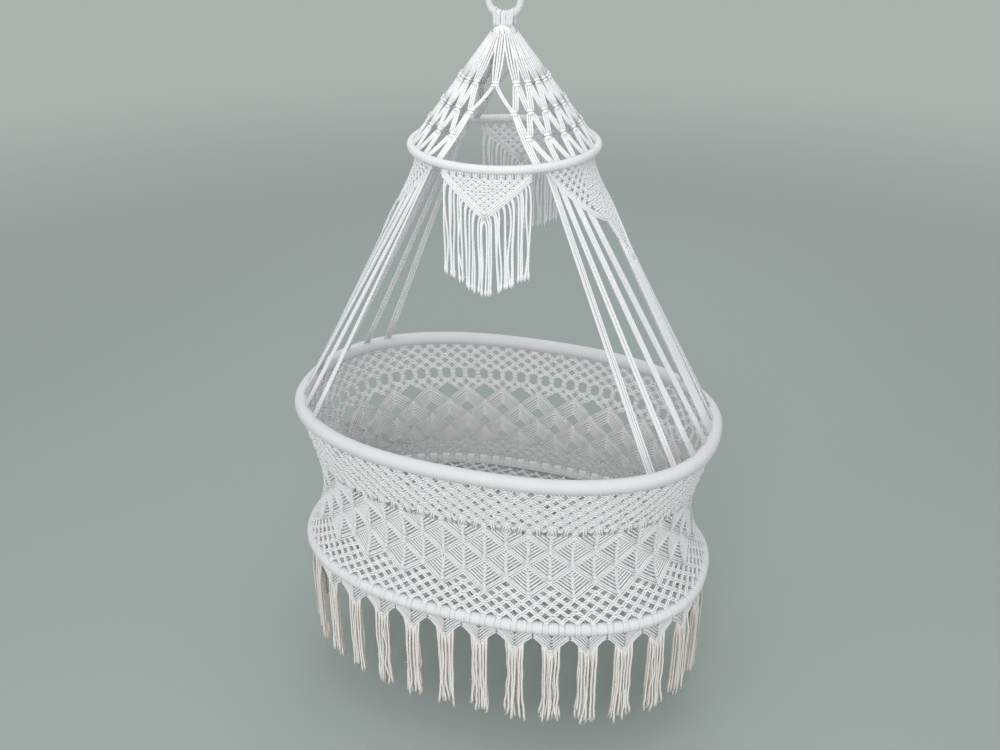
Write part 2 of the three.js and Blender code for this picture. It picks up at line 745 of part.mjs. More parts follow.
// Tassels: each is a knotted point that narrows to a tie, and the strands below it
function buildTassel(parent, name, share) {
  const { at, out } = lowerCurve.frameAt(share);
  const waistHeightShare = 0.6;
  const waistWidthShare = 0.62;
  const skirtShare = 0.12;
  const levels = [
    [0, pointHalfWidth, pointHalfDepth],
    [pointHeight * waistHeightShare, pointHalfWidth * waistWidthShare, pointHalfDepth],
    [pointHeight, tieHalfWidth, tieHalfDepth],
    [pointHeight + tasselLength * skirtShare, tasselHalfWidth, tasselHalfDepth],
    [pointHeight + tasselLength, tasselHalfWidth, tasselHalfDepth],
  ];
  const topZ = -lowerRadius - tasselSeatGap;
  const across = new THREE.Vector3(1, 0, 0);
  const deep = new THREE.Vector3(0, 1, 0);
  const rings = levels.map(([drop, halfWidth, halfDepth]) => (
    sectionRing(new THREE.Vector3(0, 0, topZ - drop), across, deep, halfWidth, halfDepth, tasselSides)
  ));
  const tassel = addPiece(parent, name, skin(rings, false), cotton(tasselColour));
  tassel.position.copy(at);
  tassel.rotation.z = Math.atan2(out.y, out.x) + Math.PI / 2;
}

buildRing(cradle);
buildLashing(cradle);
buildCollar(cradle);
buildConeNet(cradle, 'cone_net_right', 0);
buildConeNet(cradle, 'cone_net_left', Math.PI);
buildConeCords(cradle, 'cone_front_cords', -Math.PI / 2);
buildConeCords(cradle, 'cone_back_cords', Math.PI / 2);
buildCanopyHoop(cradle);
buildValance(cradle, 'front_valance', -Math.PI / 2);
buildValance(cradle, 'back_valance', Math.PI / 2);
buildFringe(cradle, 'front_fringe', -Math.PI / 2);
buildFringe(cradle, 'back_fringe', Math.PI / 2);
buildSideNet(cradle, 'right_side_net', 0);
buildSideNet(cradle, 'left_side_net', Math.PI);

// Bundles are counted from s = -1: on the right side that is the front, on the left side the back
buildSuspension(cradle, 'right_front_cords', 0, [0, 1, 2]);
buildSuspension(cradle, 'right_end_cords', 0, [3, 4]);
buildSuspension(cradle, 'right_back_cords', 0, [5, 6, 7]);
buildSuspension(cradle, 'left_back_cords', Math.PI, [0, 1, 2]);
buildSuspension(cradle, 'left_end_cords', Math.PI, [3, 4]);
buildSuspension(cradle, 'left_front_cords', Math.PI, [5, 6, 7]);

buildRim(cradle);
buildWall(cradle);
buildFloor(cradle);
buildLowerHoop(cradle);
for (let i = 0; i < tasselCount; i += 1) {
  buildTassel(cradle, `tassel_${String(i + 1).padStart(2, '0')}`, (i + 0.5) / tasselCount);
}

export default cradle;
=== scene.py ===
# %% [markdown]
# # Hanging baby cradle
# This lesson dresses the measured model of a knotted cotton cradle. Every net, cord, wrap and
# tassel is worked out as whole arrays of cords, swept into tubes and laid on the surface that it
# hangs on. The model's solids tell where each piece hangs and which body it moves with.

# %% Load the measured model
import math
import bpy
import numpy as np
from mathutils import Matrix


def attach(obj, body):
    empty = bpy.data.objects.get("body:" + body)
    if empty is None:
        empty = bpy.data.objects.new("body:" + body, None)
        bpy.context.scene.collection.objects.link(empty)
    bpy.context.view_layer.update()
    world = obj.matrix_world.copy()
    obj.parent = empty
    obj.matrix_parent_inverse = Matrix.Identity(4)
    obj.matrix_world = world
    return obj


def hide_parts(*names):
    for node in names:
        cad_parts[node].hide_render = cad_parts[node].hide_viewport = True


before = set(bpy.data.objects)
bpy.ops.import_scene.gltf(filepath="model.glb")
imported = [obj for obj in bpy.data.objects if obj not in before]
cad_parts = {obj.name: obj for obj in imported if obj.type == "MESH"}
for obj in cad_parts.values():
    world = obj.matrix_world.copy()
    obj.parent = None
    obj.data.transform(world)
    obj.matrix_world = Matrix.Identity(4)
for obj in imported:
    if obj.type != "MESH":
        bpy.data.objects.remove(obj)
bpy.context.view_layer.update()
chance = np.random.default_rng(7)

# %% [markdown]
# ## Camera, light and floor
# The camera stands where the photographer stood: to the right of the middle and a little above the
# ring, looking down on the basket. Most of the light is an even white sky, as on a cloudy day. Five
# soft lamps shape it: one from the left, a stronger one beside the camera that reaches into the
# basket, a low one for the tassels, one above and one behind. The plain floor turns into the
# backdrop's colour a few metres away, so no horizon shows behind the cords.

# %% Colour and node helpers, and the camera
def linear(hex_colour):
    """An sRGB hex colour as linear red, green, blue and alpha."""
    parts = [int(hex_colour[i:i + 2], 16) / 255 for i in (1, 3, 5)]
    return [c / 12.92 if c <= 0.04045 else ((c + 0.055) / 1.055) ** 2.4 for c in parts] + [1.0]


def add_node(tree, kind, sockets=None, **settings):
    """Adds a node with its settings. Sockets go by number or name: another node's output is linked,
    a hex colour is turned linear, and any other value is set as it is."""
    node = tree.nodes.new("ShaderNode" + kind)
    for name, value in settings.items():
        setattr(node, name, value)
    for socket, value in (sockets or {}).items():
        if isinstance(value, bpy.types.NodeSocket):
            tree.links.new(value, node.inputs[socket])
        else:
            node.inputs[socket].default_value = linear(value) if isinstance(value, str) else value
    return node


def reckon(tree, operation, *values):
    """The result of a math node. Each value is a number or another node's output."""
    return add_node(tree, "Math", dict(enumerate(values)), operation=operation).outputs[0]


def new_finish(name):
    """A new material, its node tree and its shader."""
    finish = bpy.data.materials.new(name)
    finish.use_nodes = True
    return finish, finish.node_tree, finish.node_tree.nodes["Principled BSDF"]


camera = bpy.data.objects.new("camera", bpy.data.cameras.new("camera"))
bpy.context.scene.collection.objects.link(camera)
bpy.context.scene.camera = camera
camera.data.sensor_fit = "HORIZONTAL"
camera.data.sensor_width = 36
camera.data.lens = 38.25
camera.location = (0.621, -1.950, 0.285)
camera.rotation_euler = (math.radians(61.87), math.radians(0.1), math.radians(17.88))
scene = bpy.context.scene
scene.view_settings.view_transform = "Standard"
print("camera at", tuple(camera.location))

# %% Lamps and world
def area_lamp(name, place, aim, size, watts):
    """A soft square lamp at a place, turned towards the point that it aims at."""
    lamp = bpy.data.objects.new(name, bpy.data.lights.new(name, "AREA"))
    lamp.data.size, lamp.data.energy = size, watts
    towards = np.array(aim, float) - np.array(place, float)
    level = math.hypot(towards[0], towards[1])
    lamp.location = place
    lamp.rotation_euler = (math.atan2(level, -towards[2]), 0, math.atan2(-towards[0], towards[1]))
    scene.collection.objects.link(lamp)


area_lamp("left lamp", (-1.6, -2.8, 1.7), (0, 0, -0.8), 1.8, 16)
area_lamp("front lamp", (0.6, -2.7, 0.55), (0, 0.15, -0.6), 1.2, 36)
area_lamp("low lamp", (1.0, -3.0, -0.7), (0, 0, -0.7), 1.0, 5)
area_lamp("top lamp", (0.3, -0.4, 2.6), (0, 0, -0.8), 2.2, 20)
area_lamp("back lamp", (-0.6, 3.0, 0.9), (0, 0, -0.7), 2.0, 16)
world = bpy.data.worlds.new("studio")
scene.world = world
world.use_nodes = True
sky = world.node_tree
sky.nodes.clear()
sky_colour, backdrop_colour = "#F3F6FA", "#AAB2AE"
ray = add_node(sky, "LightPath")
seen = reckon(sky, "MAXIMUM", ray.outputs["Is Camera Ray"], ray.outputs["Is Glossy Ray"])
seen = reckon(sky, "MAXIMUM", seen, ray.outputs["Is Transmission Ray"])
light = add_node(sky, "Background", {"Color": sky_colour, "Strength": 0.79})
backdrop = add_node(sky, "Background", {"Color": backdrop_colour, "Strength": 1.0})
both = add_node(sky, "MixShader", {0: seen, 1: light.outputs[0], 2: backdrop.outputs[0]})
add_node(sky, "OutputWorld", {0: both.outputs[0]})

# %% Floor: a painted disc that fades into the backdrop for the camera only
def level_ray(angle):
    """Level vectors, one long, at angles."""
    return np.stack([np.cos(angle), np.sin(angle), angle * 0], -1)


def circle(count):
    """Level vectors, one long, evenly spaced round a circle."""
    return level_ray(np.linspace(0, 2 * np.pi, count + 1)[:-1])


floor_height, floor_radius = -1.62, 14
fade_from, fade_to = 2.6, 7.0
disc = floor_radius * circle(96) + [0, 0, floor_height]
floor_mesh = bpy.data.meshes.new("studio floor")
floor_mesh.from_pydata(disc.tolist(), [], [list(range(len(disc)))])
studio_floor = bpy.data.objects.new("studio floor", floor_mesh)
scene.collection.objects.link(studio_floor)
painted, floor_tree, paint = new_finish("painted studio floor")
paint.inputs["Base Color"].default_value = linear("#99A29D")
paint.inputs["Roughness"].default_value = 0.85
where = add_node(floor_tree, "TexCoord")
away = add_node(floor_tree, "VectorMath", {0: where.outputs["Object"]}, operation="LENGTH")
fade = add_node(floor_tree, "MapRange", {0: away.outputs["Value"], 1: fade_from, 2: fade_to},
                interpolation_type="SMOOTHSTEP")
by_camera = add_node(floor_tree, "LightPath")
shown = reckon(floor_tree, "MULTIPLY", fade.outputs[0], by_camera.outputs["Is Camera Ray"])
haze = add_node(floor_tree, "Emission", {"Color": backdrop_colour})
blend = add_node(floor_tree, "MixShader", {0: shown, 1: paint.outputs[0], 2: haze.outputs[0]})
floor_tree.links.new(blend.outputs[0], floor_tree.nodes["Material Output"].inputs[0])
floor_mesh.materials.append(painted)

# %% [markdown]
# ## Swept cords
# Everything here is cord, so one helper does most of the work: it carries an oval section along
# many lines at once. A second helper turns the arrays into one mesh object. The map on each tube
# runs once round the cord and, in metres, along it, so that the twist of the cotton can follow it.
# It starts at a random place on every cord, so the twists of neighbours don't line up.

# %% Sweep a section along many lines
def unit(v):
    """Vectors made one long."""
    return v / np.maximum(np.linalg.norm(v, axis=-1, keepdims=True), 1e-12)


def sweep(lines, face, width, depth=None, sides=6, closed=False, wound=None):
    """Tubes along lines (n, m, 3). Each ring is centre + cos(a) side width/2 + sin(a) face depth/2,
    where side is along x face. Closed lines join their last ring to their first. Wound is the
    pitch and height of a helical ridge on a closed line, with a whole number of turns: each ring
    grows by height |sin(pi (v / pitch + a / 2pi))|, less 0.6 height so as to keep its mean size."""
    lines = np.asarray(lines, float)
    n, m, _ = lines.shape
    depth = width if depth is None else depth
    width = np.broadcast_to(np.asarray(width, float), (n, m))[..., None, None]
    depth = np.broadcast_to(np.asarray(depth, float), (n, m))[..., None, None]
    if closed:
        along = np.roll(lines, -1, 1) - np.roll(lines, 1, 1)
    else:
        along = np.gradient(lines, axis=1)
    along = unit(along)
    face = np.broadcast_to(np.asarray(face, float), lines.shape)
    face = unit(face - (face * along).sum(-1, keepdims=True) * along)
    side = np.cross(along, face)
    a = 2 * np.pi * np.arange(sides) / sides
    ring = (side[:, :, None] * np.cos(a)[:, None] * width / 2
            + face[:, :, None] * np.sin(a)[:, None] * depth / 2)
    step = np.linalg.norm(np.diff(lines, axis=1, append=lines[:, :1]), axis=-1)
    length = np.concatenate([np.zeros((n, 1)), np.cumsum(step, 1)], 1)
    if wound:
        turns = np.round(length[:, -1:] / wound[0])
        phase = (length[:, :-1] / length[:, -1:] * turns)[..., None] + np.arange(sides) / sides
        ring = ring + unit(ring) * (wound[1] * (np.abs(np.sin(np.pi * phase)) - 0.6))[..., None]
    verts = (lines[:, :, None] + ring).reshape(-1, 3)
    i, j = np.meshgrid(np.arange(m if closed else m - 1), np.arange(sides), indexing="ij")
    i2, j2 = (i + 1) % m, (j + 1) % sides
    quad = np.stack([i * sides + j, i2 * sides + j, i2 * sides + j2, i * sides + j2], -1)
    quad = quad.reshape(-1, 4)
    base = (np.arange(n) * m * sides)[:, None, None]
    quads = (quad[None] + base).reshape(-1, 4)
    length += chance.random(n)[:, None]
    v0, v1 = length[:, i.ravel()], length[:, i.ravel() + 1]
    u0 = np.broadcast_to(j.ravel() / sides, v0.shape)
    u1 = u0 + 1 / sides
    uv = np.stack([np.stack([u0, v0], -1), np.stack([u0, v1], -1),
                   np.stack([u1, v1], -1), np.stack([u1, v0], -1)], 2).reshape(-1, 4, 2)
    groups = [(quads, uv)]
    if not closed:
        first = np.arange(sides)
        caps = np.stack([first, (m - 1) * sides + first[::-1]])
        caps = (caps[None] + base).reshape(-1, sides)
        cap_uv = np.repeat(np.stack([length[:, 0], length[:, m - 1]], 1).reshape(-1, 1), sides, 1)
        groups.append((caps, np.stack([np.broadcast_to(first / sides, cap_uv.shape), cap_uv], -1)))
    return verts, groups


def make_piece(name, parts, finish, stands_for, body="cradle"):
    """One mesh object from swept parts, in place of the solids it stands for. It rides a body."""
    verts = np.concatenate([p[0] for p in parts])
    starts = np.cumsum([0] + [len(p[0]) for p in parts])
    loops, uvs, sizes = [], [], []
    for offset, (_, groups) in zip(starts, parts):
        for faces, uv in groups:
            loops.append((faces + offset).ravel())
            uvs.append(uv.reshape(-1, 2))
            sizes.append(np.full(len(faces), faces.shape[1]))
    loops, uvs, sizes = np.concatenate(loops), np.concatenate(uvs), np.concatenate(sizes)
    mesh = bpy.data.meshes.new(name)
    mesh.vertices.add(len(verts))
    mesh.vertices.foreach_set("co", verts.astype(np.float32).ravel())
    mesh.loops.add(len(loops))
    mesh.loops.foreach_set("vertex_index", loops.astype(np.int32))
    mesh.polygons.add(len(sizes))
    mesh.polygons.foreach_set("loop_start", (np.cumsum(sizes) - sizes).astype(np.int32))
    mesh.polygons.foreach_set("use_smooth", np.ones(len(sizes), bool))
    mesh.update(calc_edges=True)
    layer = mesh.uv_layers.new(name="cord")
    layer.data.foreach_set("uv", uvs.astype(np.float32).ravel())
    mesh.materials.append(finish)
    mesh.validate()
    piece = bpy.data.objects.new(name, mesh)
    scene.collection.objects.link(piece)
    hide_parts(*stands_for)
    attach(piece, body)
    print(f"{name}: {int((sizes - 2).sum())} triangles")

# %% [markdown]
# ## Cotton finishes
# The cords are soft spun cotton of about 4 mm, laid from three strands, so each carries slanting
# ridges, with painted shade in the valleys between them. Cotton scatters light and hardly shines: a
# rough surface with a little fuzz at its edges.
# Where cords touch, their flanks are painted darker, a painted shade that draws each cord apart from
# the next.
# The cores are hidden by their wraps and get the finish of the real stuff all the same.

# %% How a cotton finish is made
def cotton(name, pale, warm, lay, ridges, height, shadow="#8E8B88", flank=0.0, patch=0.09):
    """Spun cotton. Ridges run round the cord and advance along it: sin(2 pi (ridges u + v / lay)).
    Its flanks are painted towards the shadow colour by flank |cos(2 pi u)|^3, a painted shade where
    neighbouring cords touch. Pale and warm patches are patch metres wide."""
    finish, tree, shade = new_finish(name)
    shade.inputs["Roughness"].default_value = 0.88
    shade.inputs["Specular IOR Level"].default_value = 0.25
    shade.inputs["Sheen Weight"].default_value = 0.25
    shade.inputs["Sheen Roughness"].default_value = 0.5
    cord_map = add_node(tree, "UVMap", uv_map="cord")
    split = add_node(tree, "SeparateXYZ", {0: cord_map.outputs[0]})
    around = reckon(tree, "MULTIPLY", split.outputs[0], 2 * math.pi)
    slant = reckon(tree, "MULTIPLY", around, ridges)
    run = reckon(tree, "MULTIPLY_ADD", split.outputs[1], 2 * math.pi / lay, slant)
    ridge = reckon(tree, "SINE", run)
    place = add_node(tree, "TexCoord").outputs["Object"]
    fibre = add_node(tree, "TexNoise", {0: place, "Scale": 900.0, "Detail": 3.0})
    cloud = add_node(tree, "TexNoise", {0: place, "Scale": 1 / patch, "Detail": 4.0})
    mottled = add_node(tree, "Mix", {0: cloud.outputs[0], 6: pale, 7: warm}, data_type="RGBA")
    # Painted shade: the colour darkens to 0.86 in the valleys between the ridges.
    groove = add_node(tree, "MapRange", {0: ridge, 1: -1.0, 2: 1.0, 3: 0.86, 4: 1.0})
    groove_shaded = add_node(tree, "Mix", {0: 1.0, 6: mottled.outputs[2], 7: groove.outputs[0]},
                     data_type="RGBA", blend_type="MULTIPLY")
    # Painted shade: the flanks, where neighbouring cords touch, are darkened towards the shadow
    # colour.
    sideways = reckon(tree, "ABSOLUTE", reckon(tree, "COSINE", around))
    flank_shade = reckon(tree, "MULTIPLY", reckon(tree, "POWER", sideways, 3.0), flank)
    flank_shaded = add_node(tree, "Mix", {0: flank_shade, 6: groove_shaded.outputs[2], 7: shadow}, data_type="RGBA")
    tree.links.new(flank_shaded.outputs[2], shade.inputs["Base Color"])
    relief = reckon(tree, "MULTIPLY_ADD", fibre.outputs[0], 0.8, ridge)
    bump = add_node(tree, "Bump", {"Strength": 0.7, "Distance": height, "Height": relief})
    tree.links.new(bump.outputs[0], shade.inputs["Normal"])
    return finish


# %% The cotton finishes
# Spun cotton cord, three strands twisted together: fine slanting ridges, and flanks greyed with
# painted shade.
cord_cotton = cotton("three-strand spun cotton cord", "#F6F6F7", "#EEEDEC", 0.009, 3, 0.00025,
                     "#8B8783", 0.60)
# The same cord, bleached: whiter, with cooler painted shade between the cords of the canopy.
canopy_cotton = cotton("bleached cotton cord", "#F8F8F9", "#F1F0F0", 0.009, 3, 0.00025,
                       "#9C9DA0", 0.42)
# Net cord pulled flat where it passes over a hoop: a little duller than the free cord, with painted
# shade on its flanks.
band_cotton = cotton("net cord drawn tight over a hoop", "#EAEAEB", "#E1E0E0", 0.009, 3, 0.0002,
                     "#8A8886", 0.45)
# Thin cotton wound turn against turn: one shallow ridge for each 3.6 mm turn, with painted shade
# between the turns.
wound_cotton = cotton("tightly wound cotton", "#E6E6E7", "#DDDCDC", 0.0036, 1, 0.0002)
# The same winding on the rim, a shade greyer: painted shade that keeps the rim's brightly lit top
# from glaring.
rim_cotton = cotton("tightly wound cotton, painted a shade darker", "#DADADC", "#D2D1D1", 0.0036, 1, 0.0002)
# Raw cotton, combed and never bleached: cream in small paler and darker patches, with tan painted
# shade in its folds.
tassel_cotton = cotton("combed raw cotton", "#FEFCFA", "#EDE5D9", 0.012, 3, 0.0003,
                       "#84735F", 0.58, 0.016)

# %% The hidden cores
# Bright drawn steel, pulled through a die: a grey metal whose shine is blurred unevenly.
steel, steel_tree, steel_shade = new_finish("bright drawn steel")
steel_shade.inputs["Metallic"].default_value = 1.0
steel_shade.inputs["Base Color"].default_value = linear("#B9BCC0")
brush = add_node(steel_tree, "TexNoise", {"Scale": 400.0})
scratch = add_node(steel_tree, "MapRange", {0: brush.outputs[0], 3: 0.22, 4: 0.4})
steel_tree.links.new(scratch.outputs[0], steel_shade.inputs["Roughness"])
# Rattan cane, steamed and bent to the oval: two browns that run into each other.
bentwood, cane_tree, cane_shade = new_finish("bent rattan cane")
cane_place = add_node(cane_tree, "TexCoord").outputs["Object"]
grain = add_node(cane_tree, "TexNoise", {0: cane_place, "Scale": 60.0, "Detail": 6.0})
tint = add_node(cane_tree, "Mix", {0: grain.outputs[0], 6: "#C9A778", 7: "#A88455"}, data_type="RGBA")
cane_tree.links.new(tint.outputs[2], cane_shade.inputs["Base Color"])
for node, finish in {"ring_core": steel, "canopy_hoop_core": steel, "rim_core": bentwood,
                     "lower_hoop_core": bentwood}.items():
    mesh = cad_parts[node].data
    mesh.materials.clear()
    mesh.materials.append(finish)

# %% [markdown]
# ## The surfaces that the nets lie on
# A net is drawn on a flat chart, in millimetres, and a surface function carries the chart into
# space. Each function gives the point and the way that the surface faces there. The basket's hoops
# are ovals: cos and sin of an angle, each raised to the power 2 / 2.35, times the half lengths.

# %% Ovals, and the basket's wall
oval_power = 2.35
rim_size, rim_height = (0.460, 0.300), -0.881
lower_size, lower_height = (0.465, 0.302), -1.237
wall_top, wall_low = -0.8968, -1.2232
waist = (0.040, 0.024)           # how far the wall is drawn in, at the ends and at the sides


def oval(angle, a, b):
    """Level x and y of an oval with half lengths a and b."""
    c, s = np.cos(angle), np.sin(angle)
    return (a * np.sign(c) * np.abs(c) ** (2 / oval_power),
            b * np.sign(s) * np.abs(s) ** (2 / oval_power))


fine = np.pi / 2 + 2 * np.pi * np.linspace(0, 1, 20001)
ox, oy = oval(fine, *rim_size)
run_length = np.concatenate([[0], np.cumsum(np.hypot(np.diff(ox), np.diff(oy)))])
girth = float(run_length[-1])
print("girth of the rim", round(girth, 4))


def angle_at(share):
    """The oval's angle at a share of the way round, from the back and on to the left."""
    return np.interp(np.mod(share, 1) * girth, run_length, fine)


units = 25                       # repeats of the pattern round the basket
unit_mm = girth * 1000 / units
wall_mm = 335.0


def wall_point(share, t):
    """The wall between the hoops, drawn in at the waist by the sine of pi t^1.233."""
    drawn = np.sin(np.pi * np.clip(t, 0, 1) ** 1.233)
    halves = [rim + (low - rim) * t - deep * drawn
              for rim, low, deep in zip(rim_size, lower_size, waist)]
    x, y = oval(angle_at(share), *halves)
    return np.stack([x, y, wall_top + (wall_low - wall_top) * t], -1)


def on_wall(chart):
    """Chart (x round the wall, v down it, w outwards), in mm, to points and outward faces. The
    pattern hangs 7 mm lower at the front and as much higher at the back."""
    share = chart[..., 0] / (girth * 1000)
    flat = np.clip(chart[..., 1] / wall_mm, 0, 1)
    t = chart[..., 1] / wall_mm - 0.021 * np.cos(2 * np.pi * share) * np.sqrt(np.sin(np.pi * flat))
    h = 1e-4
    out = unit(np.cross(wall_point(share, t + h) - wall_point(share, t - h),
                        wall_point(share + h, t) - wall_point(share - h, t)))
    return wall_point(share, t) + out * chart[..., 2:] / 1000, out


test = on_wall(np.array([[girth * 500, 100.0, 0.0]]))
print("front of the wall", test[0].round(3), "faces", test[1].round(2))

# %% [markdown]
# ## Knots and nets
# Two stacked bars, fat in the middle, look like a square knot from a hand's width away. A net is
# rows of such knots, each row shifted by half a space, with two or three cords from every knot to
# each of the two below it.

# %% Chart helpers
def row_at(x, v):
    """Chart points at places x along a level row, v down the chart."""
    return np.stack([x, x * 0 + v], -1)


def straight(starts, ends, steps, lift=0.0):
    """Chart lines from starts to ends (n, 2), lifted off the chart."""
    t = np.linspace(0, 1, steps)[None, :, None]
    flat = np.asarray(starts, float)[:, None] * (1 - t) + np.asarray(ends, float)[:, None] * t
    return np.concatenate([flat, np.full_like(flat[..., :1], lift)], -1)


def side_by_side(starts, ends, count, pitch):
    """Copies of each straight cord, pitch apart across its run."""
    starts, ends = np.asarray(starts, float), np.asarray(ends, float)
    run = unit(ends - starts)
    across = np.stack([-run[:, 1], run[:, 0]], -1)
    moves = (np.arange(count) - (count - 1) / 2) * pitch
    return (np.concatenate([starts + across * m for m in moves]),
            np.concatenate([ends + across * m for m in moves]))


def lay(place, chart, width, depth=None, sides=6):
    """Cords along chart lines, laid on a surface. Width and depth are in metres."""
    points, out = place(chart)
    return sweep(points, out, width, depth, sides)


def cords(place, starts, ends, size, steps=4, lift=0.0, depth=None):
    """Straight cords between chart points, laid on a surface. A pair of sizes tapers. Sizes in mm."""
    width = np.linspace(*np.broadcast_to(size, 2), steps) / 1000
    return lay(place, straight(starts, ends, steps, lift), width, depth and depth / 1000)


def pairs(place, starts, ends, size, pitch, steps=3):
    """Two cords, pitch mm apart, for each one in a list."""
    return cords(place, *side_by_side(starts, ends, 2, pitch), size, steps)


def knots(place, centres, wide, tall, deep, lift=0.0):
    """Square knots: two bars whose ends are pinched in, laid on a surface. Sizes in mm."""
    centres = np.asarray(centres, float)
    starts = np.concatenate([centres + [-wide / 2, tall * row] for row in (-0.25, 0.25)])
    ends = starts + [wide, 0]
    slip = chance.normal(0, 0.6, starts.shape)
    pinch = np.array([0.45, 0.92, 1.0, 0.92, 0.45]) / 1000
    return lay(place, straight(starts + slip, ends + slip, 5, lift), tall / 2 * 1.12 * pinch,
               deep * pinch)


def chart_grid(x, v):
    """The x and v of every place in a grid of columns and rows, and whether it is an even one."""
    cc, rr = np.meshgrid(np.arange(len(x)), np.arange(len(v)))
    return x[cc], v[rr], (cc + rr) % 2 == 0


def knot_net(place, grid, column_x, row_v, knot, cord, pair_pitch, closed=False, ply=2):
    """Knots where grid is true, and runs of cords to the knots a column to either side in the row
    below: ply of them, a number or one for each knot. Columns lie at column_x and rows at row_v, in
    mm; knot is (wide, tall, deep)."""
    ply = np.broadcast_to(ply, grid.shape)
    rows, columns = np.nonzero(grid)
    parts = [knots(place, np.stack([column_x[columns], row_v[rows]], -1), *knot)]
    step = column_x[1] - column_x[0]
    for side in (-1, 1):
        below = np.roll(grid, -side, 1)
        if not closed:
            below[:, -1 if side == 1 else 0] = False
        r, c = np.nonzero(grid[:-1] & below[1:])
        top = np.stack([column_x[c], row_v[r]], -1)
        end = top + np.stack([np.full(len(c), side * step), row_v[r + 1] - row_v[r]], -1)
        for count in np.unique(ply[r, c]):
            some = ply[r, c] == count
            run = (end - top)[some] * 0.13
            starts, ends = side_by_side(top[some] + run, end[some] - run, count, pair_pitch)
            parts.append(cords(place, starts, ends, cord, 3))
    return parts

# %% [markdown]
# ## Basket wall
# The wall's pattern repeats 25 times round the basket. Its chart has a small-mesh column at every
# sixth of a repeat and a mesh row every 13.5 mm. Big diamonds sit on a lattice of five rows of nodes.
# At the front their hitched lines run down to the lower node like a V. At the back they hang from
# the upper node like a roof and leave an opening below.

# %% Wall mesh: which knots are tied where
mesh_row, mesh_first = 13.5, 6.5
lattice_top, half_high, half_wide = 118.0, 39.5, unit_mm / 2
places = np.arange(units * 6)
column_x = places * unit_mm / 6
at_front = np.abs(places / len(places) - 0.5) < 0.25
on_third = places % 2 == 0
on_repeat, on_half = places % 6 == 0, places % 6 == 3
mesh_cord, pair_pitch = 4.9, 5.0
mesh_kind = ((12.8, 11.0, 8.2), mesh_cord, pair_pitch, True)

high_v = mesh_first + mesh_row * np.arange(-1, 8)
high_v[0] -= 1.0                 # the top row lies inside the rim's cover
high_net = np.stack([on_third, ~on_third] * 4 + [on_repeat])
high_net[6:] &= at_front
low_v = lattice_top + 4 * half_high + mesh_row * np.arange(-1, 5)
low_net = np.stack([~on_third, on_third] * 3)
low_net[0] &= at_front & on_half
low_net[1] &= at_front & ~on_repeat
neck_v = np.array([102.0, 112.5])
neck_net = np.stack([~on_third & ~at_front, on_third & ~at_front & ~on_repeat])
print("mesh knots", int(high_net.sum() + low_net.sum() + neck_net.sum()))

# %% Wall mesh: knots, their cords, and the sinnets between the hexagon openings
def link(starts, ends):
    """Pairs of mesh cords between chart points on the wall."""
    return pairs(on_wall, starts, ends, mesh_cord, pair_pitch)


high_ply = 2 + (at_front & (chance.random(high_net.shape) < 0.8))
parts = knot_net(on_wall, high_net, column_x, high_v, *mesh_kind, high_ply)
back_thirds = column_x[on_third & ~at_front]
back_sixths = column_x[~on_third & ~at_front]
for v in (69.5, 77.0, 84.5, 92.0):
    parts.append(knots(on_wall, row_at(back_thirds, v), 14, 8, 8))
top = row_at(back_sixths, 61)
for aside in (-unit_mm / 7.5, unit_mm / 7.5):
    parts.append(link(top, top + [aside, 7]))
    parts.append(link(top + [aside, 34.5], top + [0, 41]))
parts += knot_net(on_wall, neck_net, column_x, neck_v, *mesh_kind)
node = row_at(column_x[on_repeat & ~at_front], lattice_top)
for side in (-1, 1):
    parts.append(link(node + [side * unit_mm / 6, -16], node + [side * 3, -2]))
    parts.append(link(node + [side * unit_mm / 3, -5.5], node + [side * unit_mm * 0.15, 8]))
node = row_at(column_x[on_repeat & at_front], lattice_top)
for side in (-1, 1):
    parts.append(link(node + [side * 2, -15], node + [side * 2, -2]))
    parts.append(link(node + [side * unit_mm / 6, -29], node + [side * unit_mm * 0.22, -4]))
    parts.append(link(node + [side * unit_mm / 2, -29], node + [side * unit_mm * 0.42, -4]))
    third = node + [side * unit_mm / 3, -20]
    parts.append(knots(on_wall, third, 12, 8, 8))
    for lean in (-1, 1):
        parts.append(link(third + [lean * unit_mm / 6, -12], third + [lean * 2, -2]))
make_piece("wall_mesh_upper", parts, cord_cotton, ["basket_wall"])

# %% Wall mesh under the diamonds
parts = knot_net(on_wall, low_net, column_x, low_v, *mesh_kind)
for side in (-1, 1):
    top = row_at(column_x[on_repeat], low_v[1])
    parts.append(link(top, top + [side * unit_mm / 6, mesh_row]))
    top = row_at(column_x[~on_repeat & on_third & ~at_front], low_v[1] + 8)
    parts.append(link(top, top + [side * unit_mm / 8, mesh_row - 8]))
under = row_at(column_x[on_half & at_front], low_v[0])
for side in (-1, 1):
    parts.append(link(under, under + [side * unit_mm * 0.17, -9]))
    parts.append(link(under + [side * unit_mm / 6, mesh_row], under + [side * unit_mm * 0.32, 2]))
make_piece("wall_mesh_lower", parts, cord_cotton, ["basket_wall"])

# %% Diamonds: their nodes, borders and hitched lines
def diamond_centres(row):
    """Centres of the diamonds whose upper node is in a row of the lattice."""
    columns = np.arange(units) + (0.5 if row % 2 else 0.0)
    return row_at(columns * unit_mm, lattice_top + (row + 1) * half_high)


def is_front(points):
    """Whether chart points on the wall are in its front half."""
    return np.abs(points[:, 0] / (girth * 1000) - 0.5) < 0.25


def in_diamond(centres, p, q):
    """Chart points at p half widths and q half heights from each centre."""
    return centres + np.stack([np.broadcast_to(p, len(centres)) * half_wide,
                               np.broadcast_to(q, len(centres)) * half_high], -1)


